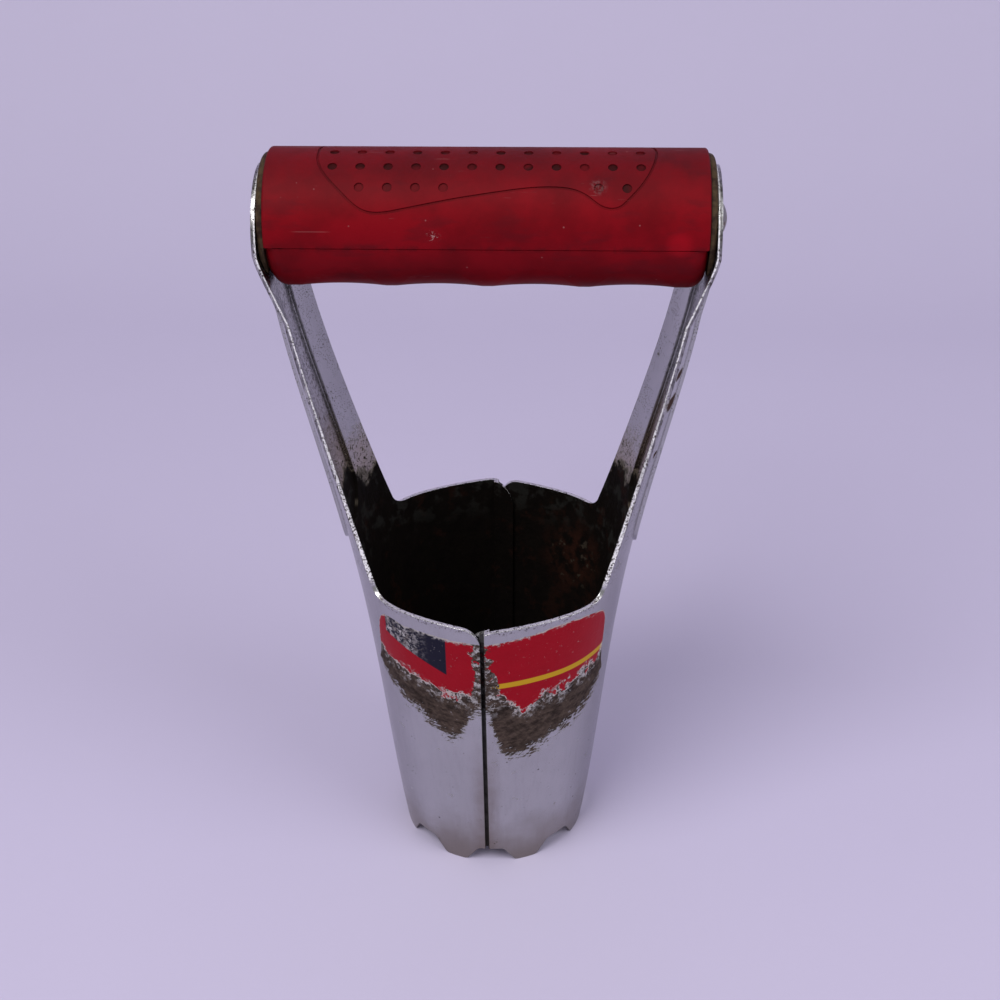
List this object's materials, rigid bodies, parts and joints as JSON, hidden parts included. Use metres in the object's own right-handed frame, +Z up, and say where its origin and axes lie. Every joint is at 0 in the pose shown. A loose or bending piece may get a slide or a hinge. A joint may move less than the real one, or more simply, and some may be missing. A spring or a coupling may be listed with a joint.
{
  "type": "garden hole cutter",
  "caption": "Toothed half-tube blades on ribbed arms, hinged on a bar grip; squeezing the grip's finger half swings one blade away, so the cut plug of soil drops out.",
  "frame": {"origin": "on the floor between the tooth tips, on the tube's axis", "axes": "+Z up the tube to the grip, +X along the grip to the swinging blade's arm, -Y the front, towards the person who holds it"},
  "size_m": [0.1324, 0.0922, 0.2314],
  "materials": {
    "chromed_steel": "worn chrome plating on pressed steel, pitted, soiled and rusty inside",
    "red_plastic": "scuffed dark red moulding",
    "olive_plastic": "plain moulding, soiled",
    "rivet_steel": "plain steel, dull",
    "spring_steel": "drawn wire"
  },
  "bodies": {
    "fixed_half": {"left_blade": "chromed_steel", "palm_grip": "red_plastic", "left_end_bush": "olive_plastic", "axle": "rivet_steel", "left_washer": "rivet_steel", "right_washer": "rivet_steel", "return_spring": "spring_steel"},
    "swing_half": {"right_blade": "chromed_steel", "finger_grip": "red_plastic", "right_end_bush": "olive_plastic"}
  },
  "joints": [
    {"name": "blade_swing", "type": "hinge", "parent": "fixed_half", "child": "swing_half", "pos_m": [0, 0, 0.2123], "axis": [1, 0, 0], "range_deg": [0, 12], "stiffness_Nm_per_rad": 0.7, "springref_deg": -24.64, "deforming": ["return_spring"]}
  ]
}
